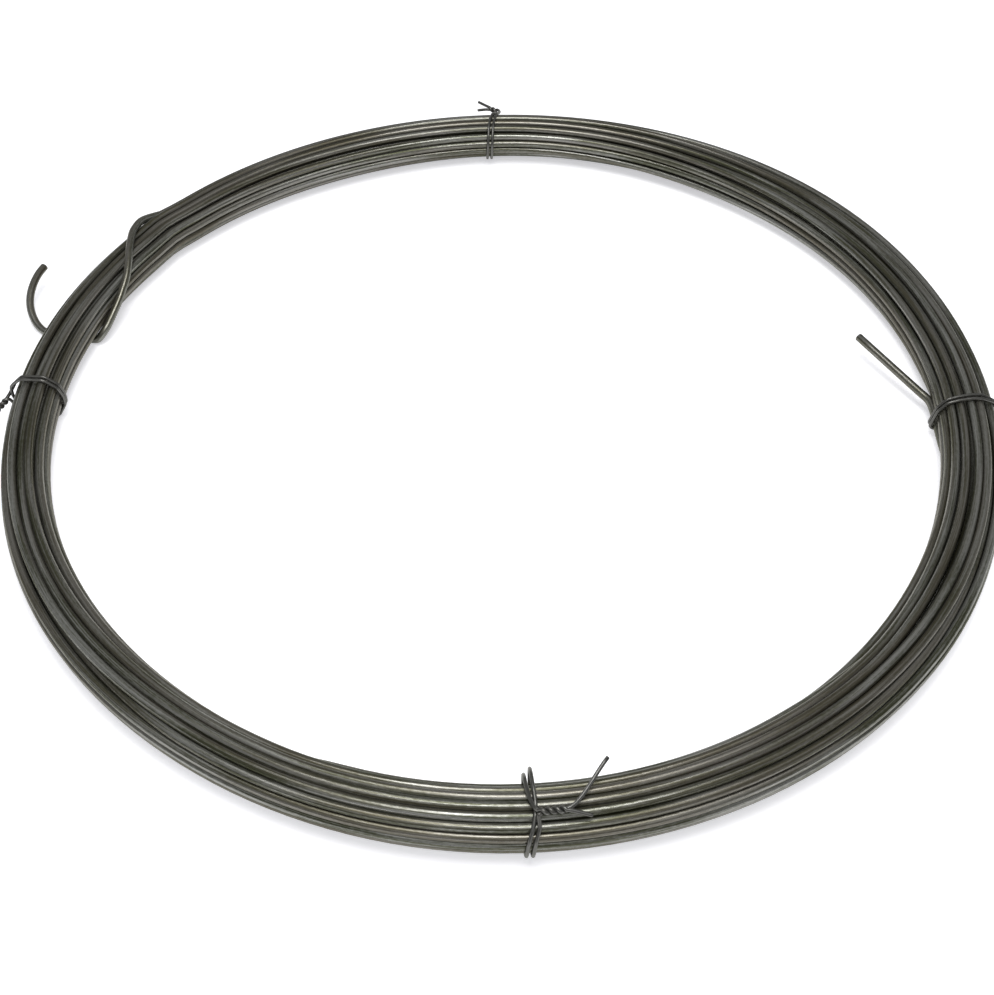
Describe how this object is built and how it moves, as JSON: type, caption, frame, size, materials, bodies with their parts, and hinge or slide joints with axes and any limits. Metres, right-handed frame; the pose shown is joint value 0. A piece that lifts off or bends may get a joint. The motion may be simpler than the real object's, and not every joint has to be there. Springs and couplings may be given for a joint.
{
  "type": "coil of binding wire",
  "caption": "Hand coil of plain dark steel binding wire, a loose bundle of turns held by twisted wire ties, with one end wound round the bundle and tucked under it.",
  "frame": {"origin": "The middle of the coil's eye, on the floor that the coil lies on.", "axes": "+Z is the coil's axis, up from the floor. The outer end is tucked through at -X, the inner end points into the eye from +X, and the front tie is at -Y."},
  "size_m": [0.3729, 0.3601, 0.0228],
  "materials": {
    "wire": "drawn steel with a thin olive-grey oxide, streaked along the wire, satin",
    "tie_wire": "soft annealed steel, grey, satin"
  },
  "bodies": {
    "root": {"wire_turns": "wire", "wire_inner_end": "wire", "wire_outer_end": "wire", "tie_front": "tie_wire", "tie_right": "tie_wire", "tie_back": "tie_wire", "tie_left": "tie_wire"}
  },
  "joints": []
}
